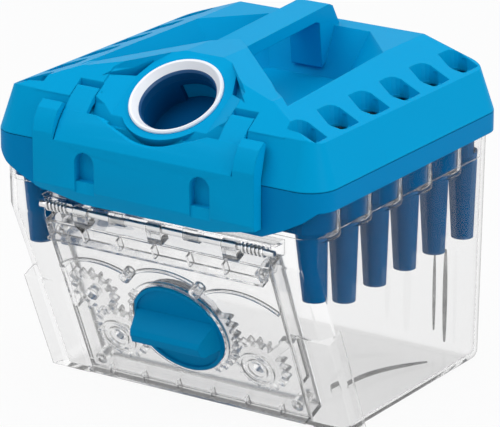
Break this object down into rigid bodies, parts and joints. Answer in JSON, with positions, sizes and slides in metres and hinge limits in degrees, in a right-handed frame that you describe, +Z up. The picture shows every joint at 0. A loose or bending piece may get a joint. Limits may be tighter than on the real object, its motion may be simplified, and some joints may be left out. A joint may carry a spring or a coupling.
{
  "type": "vacuum dust container",
  "caption": "Clear dust container with blue hinged cover, inlet, carrying handle, rows of small cyclone cones, front latch and knob-locked emptying door",
  "frame": {"origin": "centre of the bounding box at the base", "axes": "+X to the right seen from the front, +Y to the rear, +Z up; the latch and the door face -Y"},
  "size_m": [0.23, 0.2178, 0.216],
  "materials": {
    "bin_clear": "clear moulded plastic",
    "door_clear": "clear moulded plastic",
    "liner_clear": "clear moulded plastic",
    "gear_clear": "clear moulded plastic",
    "cover_blue": "satin blue plastic",
    "frame_blue": "satin blue plastic",
    "latch_blue": "satin blue plastic",
    "knob_blue": "satin blue plastic",
    "cyclone_blue": "satin dark blue plastic",
    "vortex_blue": "satin dark blue plastic",
    "duct_navy": "dark blue plastic",
    "inlet_white": "soft white lip",
    "screen_white": "pale plastic screen",
    "seal_rubber": "soft grey rubber",
    "steel": "bright steel"
  },
  "bodies": {
    "container": {"clear_bin": "bin_clear", "cyclone_frame": "frame_blue", "right_cyclones": "cyclone_blue", "left_cyclones": "cyclone_blue", "right_vortex_plate": "vortex_blue", "left_vortex_plate": "vortex_blue", "coarse_screen": "screen_white", "bin_seal": "seal_rubber", "door_hinge_rod": "steel", "cover_hinge_pins": "steel", "door_springs": "steel"},
    "cover": {"top_cover": "cover_blue", "inlet_seal": "inlet_white", "inlet_duct": "duct_navy", "cover_seal": "seal_rubber"},
    "latch": {"latch_flap": "latch_blue", "latch_pins": "steel"},
    "door": {"front_door": "door_clear", "door_liner": "liner_clear", "door_seal": "seal_rubber", "liner_screws": "steel"},
    "knob": {"lock_knob": "knob_blue", "drive_gear": "gear_clear"},
    "right_hook": {"right_hook_gear": "gear_clear"},
    "left_idler": {"left_idler_gear": "gear_clear"},
    "left_hook": {"left_hook_gear": "gear_clear"}
  },
  "joints": [
    {"name": "cover_hinge", "type": "hinge", "parent": "container", "child": "cover", "pos_m": [0, 0.10565, 0.1612], "axis": [-1, 0, 0], "range_deg": [0, 80]},
    {"name": "latch_hinge", "type": "hinge", "parent": "cover", "child": "latch", "pos_m": [0, -0.08465, 0.1902], "axis": [-1, 0, 0], "range_deg": [0, 100]},
    {"name": "door_hinge", "type": "hinge", "parent": "container", "child": "door", "pos_m": [0, -0.09505, 0.12], "axis": [-1, 0, 0], "range_deg": [0, 90], "stiffness_Nm_per_rad": 0.07, "springref_deg": -57.3},
    {"name": "knob_turn", "type": "hinge", "parent": "door", "child": "knob", "pos_m": [0, -0.07093, 0.052], "axis": [0, -0.922, -0.3872], "range_deg": [0, 20]},
    {"name": "right_hook_turn", "type": "hinge", "parent": "door", "child": "right_hook", "pos_m": [0.0492, -0.0633, 0.03384], "axis": [0, -0.922, -0.3872], "range_deg": [-43, 0]},
    {"name": "left_idler_turn", "type": "hinge", "parent": "door", "child": "left_idler", "pos_m": [-0.0492, -0.0633, 0.03384], "axis": [0, -0.922, -0.3872], "range_deg": [-43, 0]},
    {"name": "left_hook_turn", "type": "hinge", "parent": "door", "child": "left_hook", "pos_m": [-0.062, -0.07422, 0.05984], "axis": [0, -0.922, -0.3872], "range_deg": [0, 52]}
  ],
  "couplings": [
    {"joint": "right_hook_turn", "follows": "knob_turn", "ratio": -2.1176},
    {"joint": "left_idler_turn", "follows": "knob_turn", "ratio": -2.1176},
    {"joint": "left_hook_turn", "follows": "knob_turn", "ratio": 2.5714}
  ]
}
